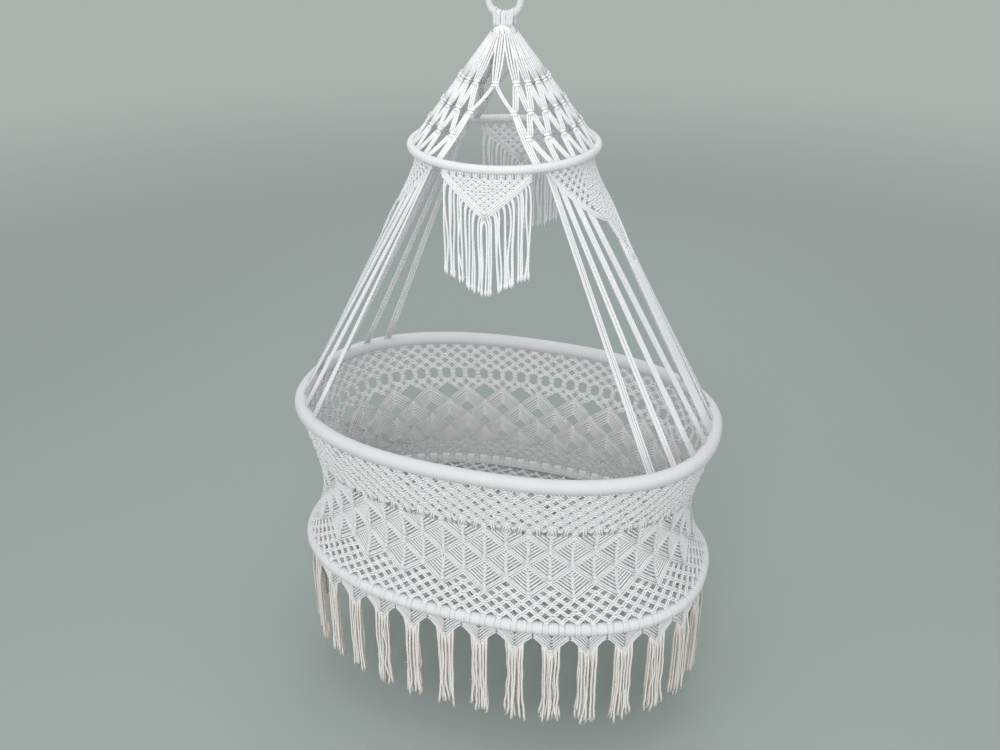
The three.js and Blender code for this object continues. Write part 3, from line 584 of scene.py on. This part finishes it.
def hitched(centres, q, end, down, size, depth):
    """Lines from place q on each diamond's middle to both sides, end half widths out and end half
    heights down. With down at -1 they rise."""
    return [cords(on_wall, in_diamond(centres, side * 0.03, q),
                  in_diamond(centres, side * end, q + down * end), size, depth=depth)
            for side in (-1, 1)]


def tie_nodes(nodes):
    """A big knot on every node of the lattice."""
    ahead = is_front(nodes)
    front_parts.append(knots(on_wall, nodes[ahead], 12, 10, 8, lift=0.6))
    back_parts.append(knots(on_wall, nodes[~ahead], 12, 10, 8, lift=0.6))


front_parts, back_parts = [], []
for row in (-1, 0, 1, 2, 3):
    centres = diamond_centres(row)
    ahead, behind = centres[is_front(centres)], centres[~is_front(centres)]
    if row < 3:
        for q in 1 - 0.236 * np.arange(1, 8):
            end = (1 + q) / 2 if row > -1 else min((1 + q) / 2, q + 0.15)
            if end > 0.05:
                front_parts += hitched(ahead, q, end, -1, (5.6, 3.8), 6.4)
        for q in np.arange(-0.62 if row > -1 else -0.1, 0.9, 0.18):
            front_parts.append(knots(on_wall, in_diamond(ahead, 0, q), 9, 7.5, 7, lift=0.4))
    if row > -1:
        for q in -1 + 0.2 * np.arange(1, 6):
            end = (1 - q) / 2 if row < 3 else min((1 - q) / 2, 0.2 - q)
            back_parts += hitched(behind, q, end, 1, (4.0, 3.0), 5.6)
        for q in np.arange(-0.82, 0.02, 0.18):
            back_parts.append(knots(on_wall, in_diamond(behind, 0, q), 8, 7.5, 6.5))
for row in (0, 1, 2, 3):
    centres = diamond_centres(row)
    nodes = in_diamond(centres, 0, -1)
    for side in (-1, 1):
        for chosen, target, pitch in ((is_front(centres), front_parts, 5.2),
                                      (~is_front(centres), back_parts, 4.4)):
            starts, ends = side_by_side(nodes[chosen], in_diamond(centres[chosen], side, 0), 2, pitch)
            target.append(cords(on_wall, starts, ends, pitch - 0.9, depth=7.0, lift=0.8))
    tie_nodes(nodes)
tie_nodes(in_diamond(diamond_centres(3), 1, 0))
make_piece("wall_diamonds_front", front_parts, cord_cotton, ["basket_wall"])
make_piece("wall_diamonds_back", back_parts, cord_cotton, ["basket_wall"])

# %% [markdown]
# ## Hoops and their wraps
# Each hoop is wound with cord laid turn against turn. The winding is a tube with a helical ridge.
# Where the net's cords pass over the lower hoop they make narrow bands, with a groove on either side.

# %% Rim and lower hoop
turn_pitch = 0.0036              # metres along the hoop from one turn of the winding to the next
band_count = 75


def hoop_line(size, height, count):
    """A closed level oval of count points."""
    x, y = oval(angle_at(np.arange(count) / count), *size)
    return np.stack([x, y, np.full(count, height)], -1)[None]


def make_winding(name, line, thick, sides, ridge, finish, node, face=(0, 0, 1), body="cradle"):
    """A closed line wound with cord. Ridge is the pitch and the height of its turns."""
    parts = [sweep(line, face, thick, sides=sides, closed=True, wound=ridge)]
    make_piece(name, parts, finish, [node], body)


def band_groove(share, from_band=6.3, width=0.8):
    """How deep a groove is cut at a share of the way round: two bell curves, from_band mm to either
    side of every band's middle."""
    off = np.abs(np.mod(share * band_count + 0.5, 1) - 0.5) * girth * 1000 / band_count
    return np.exp(-((off - from_band) / width) ** 2)


make_winding("rim_winding", hoop_line(rim_size, rim_height, 2760), 0.0310, 16,
             (turn_pitch, 0.0003), rim_cotton, "rim_cover")
thick = 0.0276 - 0.0050 * band_groove(np.arange(3600) / 3600)
make_winding("lower_hoop_winding", hoop_line(lower_size, lower_height, 3600), thick, 14,
             (turn_pitch, 0.0002), wound_cotton, "lower_hoop_wrap")

# %% Bands of net cords over the lower hoop
def lower_hoop_at(share):
    """Points on the lower hoop's centre line, the way that it runs there, and the way outwards."""
    (x1, y1), (x, y), (x2, y2) = [oval(angle_at(share + h), *lower_size) for h in (-1e-4, 0, 1e-4)]
    run = unit(np.stack([x2 - x1, y2 - y1, x * 0], -1))
    return np.stack([x, y, x * 0 + lower_height], -1), run, run[..., [1, 0, 2]] * [1, -1, 1]


centre, run, out = lower_hoop_at(np.arange(band_count)[:, None] / band_count)
up_angle = np.radians(np.linspace(130, -80, 10))[:, None]
face = out * np.cos(up_angle) + np.array([0, 0, 1.0]) * np.sin(up_angle)
parts = [sweep(centre + face * 0.0131 + run * strand * 0.0037, face, 0.0038, 0.0024, 8)
         for strand in (-1, 0, 1)]
make_piece("lower_hoop_bands", parts, band_cotton, ["lower_hoop_wrap"])

# %% Floor net
def on_floor(chart):
    """Chart in mm, flat at the height of the lower hoop."""
    return chart / 1000 + [0, 0, lower_height], np.broadcast_to([0.0, 0.0, 1.0], chart.shape)


floor_x, floor_y = np.arange(-26, 27) * 18.0, np.arange(-20, 21) * 15.0
knot_gap, edge_gap = 17, 15.5    # mm from the hoop's centre line in to the knots and the edge cord
at_x, at_y, even = chart_grid(floor_x, floor_y)
edge_a, edge_b = [half * 1000 - knot_gap for half in lower_size]
reach = np.abs(at_x / edge_a) ** oval_power + np.abs(at_y / edge_b) ** oval_power
grid = even & (reach < 1)
parts = knot_net(on_floor, grid, floor_x, floor_y, (9.5, 8.0, 5.4), 3.6, 4.4)
outer = grid & (reach > 0.80)
at = np.stack([at_x[outer], at_y[outer]], -1)
outwards = at * (1 / reach[outer] ** (1 / oval_power))[:, None]
parts.append(cords(on_floor, at, outwards, 4.0, 3))
edge = hoop_line([half - edge_gap / 1000 for half in lower_size], lower_height, 120)
parts.append(sweep(edge, [0, 0, 1], 0.0038, closed=True))
make_piece("floor_netting", parts, cord_cotton, ["floor_net"])

# %% [markdown]
# ## Tassels
# Under the lower hoop the net cords gather into 32 knotted points. Each point is a nest of hitched
# V lines with dark slits between them, and from its two lower edges hangs a bunch of loose strands
# of raw cotton with frayed ends.

# %% One tassel's chart
tassel_count = 32
point_half = 37.8                # mm from a point's middle to its upper corner
hoop_underside = 0.0143          # metres from the lower hoop's centre down to the points' tops


def on_tassel(share):
    """Chart (x along the hoop, v down from its underside, w outwards), in mm, for one tassel."""
    centre, run, out = lower_hoop_at(share)

    def place(chart):
        points = centre + run * chart[..., :1] / 1000 + out * chart[..., 2:] / 1000
        points[..., 2] -= hoop_underside + chart[..., 1] / 1000
        return points, np.broadcast_to(out, points.shape)
    return place


# %% The tassels: nested V lines, and loose strands in three ranks with frayed ends and stray hairs
vee_x = np.array([point_half, point_half, 36.4, 28.0, 19.7, 11.3])
vee_top = np.array([10.5, 4.6, 1.2, 1.2, 1.2, 1.2])
vee_foot = np.array([57.0, 48.3, 39.6, 30.9, 22.2, 13.5])
strand_count, end_hairs, stray_hairs = 15, 6, 9
strand_half = 18.4               # mm from a tassel's middle to its outer strands
foot_v, foot_limit, fray_limit, stray_limit = 244, 252, 258, 256
for number in range(1, tassel_count + 1):
    place = on_tassel((number - 0.5) / tassel_count)
    name = f"tassel_{number:02d}"
    parts = []
    u = np.linspace(0, 1, 6)
    hang = vee_top[:, None] + (vee_foot - vee_top)[:, None] * u ** 1.25
    hang += chance.normal(0, 0.5, hang.shape)
    for side in (-1, 1):
        run = side * (vee_x[:, None] * (1 - u) + 0.6 * u)
        parts.append(lay(place, np.stack([run, hang, run * 0 + 0.4], -1), 0.0045, 0.0056))
    parts.append(knots(place, [[0.0, 52.5], [0.0, 44.5]], 8.5, 7.5, 7.2, lift=0.8))
    make_piece(name + "_point", parts, cord_cotton, [name], body=name)

    column = (strand_count, 1)
    rank = np.arange(strand_count) % 3 - 1.0
    across = np.linspace(-strand_half, strand_half, strand_count)
    across += chance.normal(0, 1.1, strand_count)
    top = 8.5 + 46.5 * (1 - np.abs(across) / point_half) ** 1.25
    foot = np.minimum(foot_v + chance.normal(-4, 8, strand_count), foot_limit)
    t = np.linspace(0, 1, 18)
    wave = chance.normal(0, 1.6, column) * np.sin(np.pi * t * chance.uniform(2, 5, column)
                                                  + chance.uniform(0, 6, column))
    wave += chance.normal(0, 0.6, column) * np.sin(np.pi * t * chance.uniform(7, 12, column))
    spread = chance.normal(0, 2.6, column) * t ** 1.5
    spread += (across[:, None] * 0.10 + chance.normal(0, 2.2, column)) * np.clip(t * 5 - 4, 0, 1)
    x = across[:, None] * (1 - 0.10 * np.sin(np.pi * t)) + wave * np.sqrt(t) + spread
    v = top[:, None] + (foot - top)[:, None] * t
    w = rank[:, None] * 4.8 * np.clip(t * 5, 0, 1) + chance.normal(0, 1.2, column) * np.sin(4 * t)
    strands = np.stack([x, v, w], -1)
    size = np.interp(t, [0, 0.88, 0.96, 1], [5.3, 5.9, 6.6, 6.4]) / 1000
    parts = [lay(place, strands, size)]
    last = np.repeat(strands[:, -1], end_hairs, 0)
    fray = last + np.stack([chance.normal(0, 2.6, len(last)), chance.uniform(2, 7, len(last)),
                            chance.normal(0, 1.8, len(last))], -1)
    fray[:, 1] = np.minimum(fray[:, 1], fray_limit)
    hair = last[:, None] - [0, 2.5, 0] + (fray - last)[:, None] * np.linspace(0, 1, 3)[None, :, None]
    parts.append(lay(place, hair, np.array([0.0024, 0.0022, 0.0013]), sides=3))
    root = strands[chance.integers(0, strand_count, stray_hairs),
                   chance.integers(9, 16, stray_hairs)]
    reach = np.stack([np.sign(root[:, 0]) * chance.uniform(3, 11, stray_hairs),
                      chance.uniform(4, 16, stray_hairs), chance.normal(0, 2, stray_hairs)], -1)
    curve = np.linspace(0, 1, 4)[None, :, None]
    hair = root[:, None] + reach[:, None] * np.concatenate([curve, curve ** 2, curve], -1)
    hair[..., 0] = np.clip(hair[..., 0], -27, 27)
    hair[..., 1] = np.minimum(hair[..., 1], stray_limit)
    parts.append(lay(place, hair, np.array([0.0016, 0.0016, 0.0014, 0.0008]), sides=3))
    make_piece(name + "_strands", parts, tassel_cotton, [name], body=name)

# %% [markdown]
# ## Suspension cords
# At each end of the basket nine bundles run from a knotted side net down to the rim: eight flat ones
# of four cords and a ribbon of eleven from the net's tip. The weight draws the net in under the
# hoop. The fan is a ruled surface: a line from hoop to rim for every s from -1 to 1, drawn in by up
# to 27 mm, most of all 80 mm below the hoop. The real canopy hangs turned six degrees to the basket.

# %% Suspension surface
canopy_height, canopy_radius = -0.293, 0.182
canopy_turn = math.radians(6)
fan_angle, landing_angle = math.radians(52), math.radians(41.5)
fan_half = canopy_radius * 1000 * fan_angle
open_sides = {"front": -math.pi / 2 + canopy_turn, "back": math.pi / 2 + canopy_turn}


def fan_line(end_angle, s):
    """Where line s of a fan leaves the canopy hoop, and where it lands on the rim."""
    s = np.asarray(s, float)
    a = end_angle + canopy_turn + fan_angle * s
    top = canopy_radius * level_ray(a) + [0, 0, canopy_height]
    x, y = oval(end_angle + landing_angle * s, *rim_size)
    return top, np.stack([x, y, x * 0 + rim_height], -1)


def suspension(end_angle, s, v):
    """The point v mm down line s, drawn in by 34 mm times (1 - e^(-v / 30)) (1 - v / 500)."""
    top, low = fan_line(end_angle, s)
    v = np.asarray(v, float)[..., None]
    drawn = 0.034 * (1 - np.exp(-np.maximum(v, 0) / 30)) * np.clip(1 - v / 500, 0, 1)
    return top + unit(low - top) * v / 1000 - unit(top * [1, 1, 0]) * drawn


def on_suspension(end_angle):
    """Chart (u along the canopy hoop, v down, w outwards), in mm, on one end's fan of cords."""
    def place(chart):
        s, v = chart[..., 0] / fan_half, chart[..., 1]
        beside = suspension(end_angle, s + 1e-3, v) - suspension(end_angle, s - 1e-3, v)
        down = suspension(end_angle, s, v + 0.5) - suspension(end_angle, s, v - 0.5)
        face = unit(np.cross(down, beside))
        return suspension(end_angle, s, v) + face * chart[..., 2:] / 1000, face
    return place


def side_net_edge(s):
    """How far down, in mm, the side net's border lies: 150 - 130 |s|^1.9, and a tip 90 mm longer."""
    s = np.abs(s)
    return 150 - 130 * s ** 1.9 + 90 * np.clip(1 - s / 0.22, 0, 1)


test = on_suspension(0.0)(np.array([[0.0, 60.0, 0.0]]))
print("side net 60 mm down", test[0].round(3), "faces", test[1].round(2))

# %% Bundles of suspension cords, each slightly bent
tight, split, loose = (-6.4, -2.1, 2.1, 6.4), (-7.6, -3.3, 1.0, 8.2), (-6.6, -2.3, 3.4, 7.6)
ribbon = tuple(np.arange(-5, 6) * 4.2)
bundle_lay = (split, tight, tight, loose, ribbon, tight, tight, split, tight)
bundle_start = np.array([-0.98, -0.85, -0.69, -0.52, 0, 0.52, 0.69, 0.85, 0.98])
bundle_end = np.array([-0.94, -0.70, -0.43, -0.17, 0, 0.17, 0.43, 0.70, 0.94])
ends_at = {"right": 0.0, "left": math.pi}
group_names = {"right": ("front", "end", "back"), "left": ("back", "end", "front")}
t = np.linspace(0, 1, 9)[:, None]
for side, end_angle in ends_at.items():
    for first, label in zip((0, 3, 6), group_names[side]):
        parts = []
        for n in range(first, first + 3):
            s = bundle_end[n]
            low = fan_line(end_angle, s)[1]
            beside = unit(fan_line(end_angle, s + 1e-3)[1] - fan_line(end_angle, s - 1e-3)[1])
            for offset in bundle_lay[n]:
                s = bundle_start[n] + offset / fan_half
                start = suspension(end_angle, s, side_net_edge(s) - 5)
                end = low - unit(low - start) * 0.012 + beside * offset * 0.0009
                face = unit(np.cross(end - start, beside))
                bend = chance.normal(0, 0.0007) * np.sin(np.pi * t) + chance.normal(0, 0.0003)
                line = start + (end - start) * t + beside * bend
                parts.append(sweep(line[None], face, 0.0040, sides=7))
        make_piece(f"{side}_{label}_bundles", parts, canopy_cotton, [f"{side}_{label}_cords"])

# %% Side nets: dense in the middle, open near the corners, with a raised border of three cords
def raised_border(place, x, edge, pitch, lifts, width):
    """Three cords, side by side and pitch mm apart, along the lower edge of a net."""
    parts = []
    for step, lift in enumerate(lifts):
        for hand in (-1, 1):
            line = np.stack([hand * x, edge - pitch * step, x * 0 + lift], -1)
            parts.append(lay(place, line[None], width, 0.0058, 7))
    return parts


net_x, net_v = np.arange(-16, 17) * 10.3, 15 + np.arange(20) * 11.2
at_x, at_v, even = chart_grid(net_x, net_v)
inside = (at_v < side_net_edge(at_x / fan_half) - 9) & (np.abs(at_x) < fan_half - 3)
dense = ~even & inside & (np.abs(at_x) < 0.42 * fan_half)
filler = np.stack([at_x[dense], at_v[dense]], -1)
half_edge = np.linspace(1, 0, 40)
for side, end_angle in ends_at.items():
    place = on_suspension(end_angle)
    parts = knot_net(place, even & inside, net_x, net_v, (9.8, 8.4, 7.4), 3.7, 4.2)
    parts.append(knots(place, filler + chance.normal(0, 0.5, filler.shape), 9.0, 8.0, 6.4))
    parts += raised_border(place, half_edge * fan_half, side_net_edge(half_edge), 4.7,
                           (0.6, 1.6, 0.6), 0.0044)
    starts = row_at(net_x[::2], 6)
    parts += [pairs(place, starts, starts + [hand * 8.0, 10.0], 4.0, 4.4, 2) for hand in (-1, 1)]
    make_piece(f"{side}_net", parts, canopy_cotton, [f"{side}_side_net"])

# %% [markdown]
# ## Cone, canopy hoop, valances and fringes
# From the gather under the ring the cords spread to the canopy hoop. Three rows of square knots
# tie each side of the cone into a net, and every run of cords stops at a knot's edge. The front and
# the back stay open, but for one crossing of cords.

# %% Cone
gather_radius, cone_height = 0.0244, 0.209
cone_run = canopy_radius - gather_radius


def on_cone(middle):
    """Chart (degrees across, share down from the gather, w outwards in mm) on the cone."""
    def place(chart):
        angle = middle + np.radians(chart[..., 0])
        level = level_ray(angle)
        face = unit(level * cone_height + [0, 0, cone_run])
        point = level * (gather_radius + cone_run * chart[..., 1])[..., None]
        point[..., 2] = canopy_height + cone_height * (1 - chart[..., 1])
        return point + face * chart[..., 2:] / 1000, face
    return place


def cone_fan(place, angles, shares, count, spacing=4.1):
    """Runs of cords from angles[0] at shares[0] down or up to angles[1] at shares[1], in degrees,
    with spacing in mm across each run."""
    lines = []
    for move in (np.arange(count) - (count - 1) / 2) * spacing:
        starts, ends = [row_at(angle + np.degrees(move / (gather_radius + cone_run * share) / 1000),
                               share) for angle, share in zip(angles, shares)]
        lines.append(straight(starts, ends, 4))
    return lay(place, np.concatenate(lines), 0.0040)


def cone_knots(place, centres, wide=15.0, tall=12.0, deep=9.0):
    """Square knots on the cone, each two pinched bars laid level across it."""
    points, face = place(np.concatenate([centres, centres[:, :1] * 0], 1))
    beside = unit(np.cross([0, 0, 1.0], face))
    up = np.cross(face, beside)
    run = np.linspace(-0.5, 0.5, 5)[None, :, None] * wide / 1000
    pinch = np.array([0.5, 0.95, 1.0, 0.95, 0.5])
    bars = []
    for lift in (-0.25, 0.25):
        middle = points + up * lift * tall / 1000
        line = middle[:, None] + beside[:, None] * run
        bars.append(sweep(line, face[:, None], tall / 2000 * 1.1 * pinch, deep / 1000 * pinch, 7))
    return bars


row_share = (0.375, 0.59, 0.78)
row1, row2, row3 = np.linspace(-63, 63, 9), np.linspace(-70, 70, 10), np.linspace(-61, 61, 9)
foot = np.linspace(-60, 60, 10)
for side, end_angle in ends_at.items():
    place = on_cone(end_angle + canopy_turn)
    parts = [cone_fan(place, (row1 * 1.03, row1), (0, 0.355), 4, 3.9)]
    for angles, share in zip((row1, row2, row3), row_share):
        parts += cone_knots(place, row_at(angles, share))
    for hand in (0, 1):
        lean = (hand - 0.5) * 3.4
        upper, lower = row2[hand:9 + hand] - lean, foot[hand:9 + hand] - lean
        parts.append(cone_fan(place, (row1 + lean, upper), (0.392, 0.572), 3))
        parts.append(cone_fan(place, (upper, row3 + lean), (0.606, 0.764), 3))
        parts.append(cone_fan(place, (row3 + lean, lower), (0.796, 0.985), 3))
    parts.append(cone_fan(place, (row2[[0, -1]], foot[[0, -1]]), (0.606, 0.985), 2))
    make_piece(f"cone_{side}_netting", parts, canopy_cotton, [f"cone_net_{side}"])

hands = np.array([-1.0, 1.0])
for label, middle in open_sides.items():
    place = on_cone(middle)
    parts = [cone_fan(place, (hands * 9, hands * 2.4), (0, 0.355), 2)]
    parts += cone_knots(place, np.array([[0.0, row_share[0]]]))
    parts.append(cone_fan(place, (hands * 2.4, hands * 19.4), (0.392, 0.585), 2))
    make_piece(f"cone_{label}_pairs", parts, canopy_cotton, [f"cone_{label}_cords"])

# %% Canopy hoop
line = canopy_radius * circle(1280)[None] + [0, 0, canopy_height]
make_winding("canopy_hoop_winding", line, 0.0170, 12, (turn_pitch, 0.0004), wound_cotton,
             "canopy_hoop_wrap")

# %% Valances: dense netting and a border of three raised cords that runs down to a point
def under_hoop(middle):
    """Chart (u along the hoop, v down from its centre, w outwards), in mm, under the canopy hoop."""
    def place(chart):
        angle = middle + chart[..., 0] / 1000 / canopy_radius
        face = level_ray(angle)
        points = face * (canopy_radius + chart[..., 2:] / 1000)
        points[..., 2] = canopy_height - chart[..., 1] / 1000
        return points, face
    return place


valance_half = canopy_radius * 1000 * math.radians(27.5)
edge_depth, fringe_depth = (97, 22), (255, 215)


def sloped(u, middle, corner):
    """A depth, in mm, that runs straight from the valance's middle to its corners."""
    return middle + (corner - middle) * np.abs(u) / valance_half


def valance_edge(u):
    """How far down, in mm, the valance's lower edge lies."""
    return sloped(u, *edge_depth)


half_edge = np.linspace(valance_half, 0, 12)
for label, middle in open_sides.items():
    place = under_hoop(middle)
    step_x, step_v = (7.8, 6.4) if label == "front" else (9.4, 8.6)
    net_x, net_v = np.arange(-12, 13) * step_x, 17 + np.arange(13) * step_v
    at_x, at_v, even = chart_grid(net_x, net_v)
    grid = even & (at_v < valance_edge(at_x) - 12) & (np.abs(at_x) < valance_half - 4)
    parts = knot_net(place, grid, net_x, net_v, (step_x + 1.2, step_v + 0.4, 6.4), 3.7, 3.9)
    parts += raised_border(place, half_edge, valance_edge(half_edge) - 1.5, 5.2,
                           (0.8, 1.8, 0.8), 0.0042)
    starts = row_at(net_x[::2], 5)
    starts = starts[np.abs(starts[:, 0]) < valance_half - 5]
    parts += [pairs(place, starts + [hand * 2.6, 0], starts + [hand * 3.4, 10.5], 3.7, 3.8, 2)
              for hand in (-1, 1)]
    make_piece(f"{label}_valance_net", parts, canopy_cotton, [f"{label}_valance"])

# %% Fringes: loose cords in small groups, each with a knotted end
count = 32
t = np.linspace(0, 1, 22)
size = np.interp(t, [0, 0.93, 0.955, 0.985, 1], [4.7, 4.8, 7.4, 7.4, 5.0]) / 1000
u = np.linspace(-valance_half + 3, valance_half - 3, count)
top = valance_edge(u) + 2.4
turned = -np.sign(u)[:, None] * 4.5 * np.exp(-t * 22)
for label, middle in open_sides.items():
    crowd = u + 2.2 * np.sin(u * 0.41) + chance.normal(0, 0.5, count)
    end = sloped(u, *fringe_depth) - np.abs(chance.normal(0, 4, count))
    drift = chance.normal(0, 1.5, (count, 1)) * np.sin(t * chance.uniform(5, 11, (count, 1)))
    drift += chance.normal(0, 2.2, (count, 1)) * t ** 2
    chart = np.stack([crowd[:, None] + drift + turned, top[:, None] + (end - top)[:, None] * t,
                      chance.uniform(-1.8, 1.8, (count, 1)) * np.sqrt(t)], -1)
    make_piece(f"{label}_fringe_strands", [lay(under_hoop(middle), chart, size)], canopy_cotton,
               [f"{label}_fringe"], f"{label}_fringe")

# %% [markdown]
# ## Ring, lashing and gather
# A wound steel ring carries everything. Loops of cord go over its low side and are bound into a
# round gather.

# %% Ring winding, lashing loops and gather
ring_radius, ring_middle = 0.0312, -0.025
gather_middle, gather_size = -0.088, 0.0198
lashing_half, foot_half, foot_height = 0.0086, 0.0112, -0.0720

upright = circle(420)[None, :, [0, 2, 1]]
line = ring_radius * upright + [0, 0, ring_middle]
make_winding("ring_winding", line, 0.0124, 14, (0.0028, 0.0006), wound_cotton, "ring_wrap",
             [0, 1, 0], "ring")
parts = []
arc = np.radians(np.linspace(0, 180, 9))
for x in np.linspace(-0.0176, 0.0176, 8) + chance.normal(0, 0.0004, 8):
    low = ring_middle - math.sqrt(ring_radius ** 2 - x ** 2)
    over = np.stack([arc * 0 + x, -lashing_half * np.cos(arc), low + lashing_half * np.sin(arc)], -1)
    legs = []
    for hand in (-1, 1):
        foot = np.array([x * 0.92, hand * foot_half, foot_height])
        knee = np.array([x, hand * lashing_half, low])
        legs.append(knee + (foot - knee) * np.linspace(0.25, 1, 4)[:, None])
    loop = np.concatenate([legs[0][::-1], over, legs[1]])
    parts.append(sweep(loop[None], [1, 0, 0], 0.0050 + chance.uniform(0, 0.0005), sides=8))
make_piece("lashing_loops", parts, canopy_cotton, ["ring_lashing"], "lashing")
slant = np.radians(np.linspace(28, 150, 12))
around = (np.arange(26) / 26 * 2 * np.pi + chance.normal(0, 0.03, 26))[:, None] + 0.25 * slant
ball = np.stack([np.sin(slant) * np.cos(around), np.sin(slant) * np.sin(around),
                 np.cos(slant) + 0 * around], -1)
parts = [sweep(ball * gather_size + [0, 0, gather_middle], ball, 0.0050, sides=7)]
make_piece("gather_cords", parts, canopy_cotton, ["gather_collar"], "collar")
